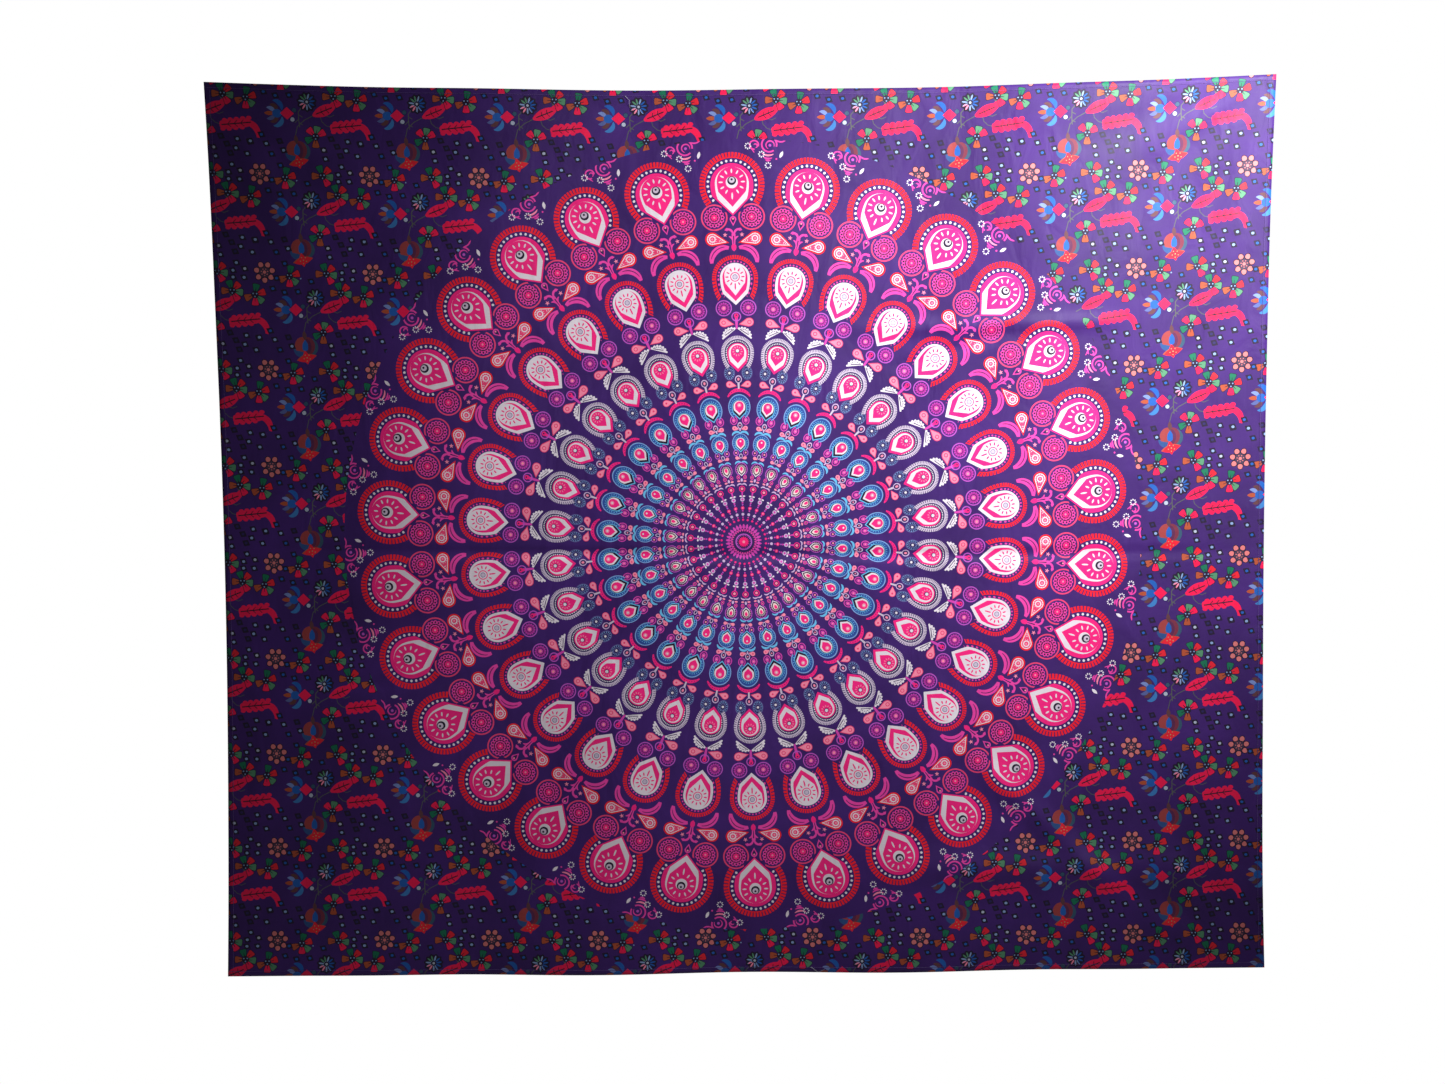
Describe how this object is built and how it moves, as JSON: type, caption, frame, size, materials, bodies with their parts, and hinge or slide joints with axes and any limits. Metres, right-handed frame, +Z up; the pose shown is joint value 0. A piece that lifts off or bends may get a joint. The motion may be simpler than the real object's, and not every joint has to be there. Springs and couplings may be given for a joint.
{
  "type": "tapestry wall hanging",
  "caption": "Rectangular printed cloth wall hanging with a narrow sewn hem, hung by its four corners so that the sheet billows softly off the wall.",
  "frame": {"origin": "middle of the line between the two top corners, on the plane of the wall that the corners' backs touch", "axes": "+Z up, +X to the right of someone who faces the print, print facing -Y, wall towards +Y"},
  "size_m": [1.5, 0.0206, 1.275],
  "materials": {
    "printed_cloth": "dye-printed smooth polyester, deep purple ground with a pink, red, white and blue print, soft satin sheen; the back of the cloth is unprinted and pale, and the turned hems show the printed side",
    "needle_thread": "twisted polyester sewing thread, dark purple",
    "bobbin_thread": "twisted polyester sewing thread, off-white"
  },
  "bodies": {
    "root": {"printed_panel": "printed_cloth", "hem_fold_top": "printed_cloth", "hem_fold_bottom": "printed_cloth", "hem_fold_left": "printed_cloth", "hem_fold_right": "printed_cloth", "needle_thread_top": "needle_thread", "needle_thread_bottom": "needle_thread", "needle_thread_left": "needle_thread", "needle_thread_right": "needle_thread", "bobbin_thread_top": "bobbin_thread", "bobbin_thread_bottom": "bobbin_thread", "bobbin_thread_left": "bobbin_thread", "bobbin_thread_right": "bobbin_thread"}
  },
  "joints": []
}
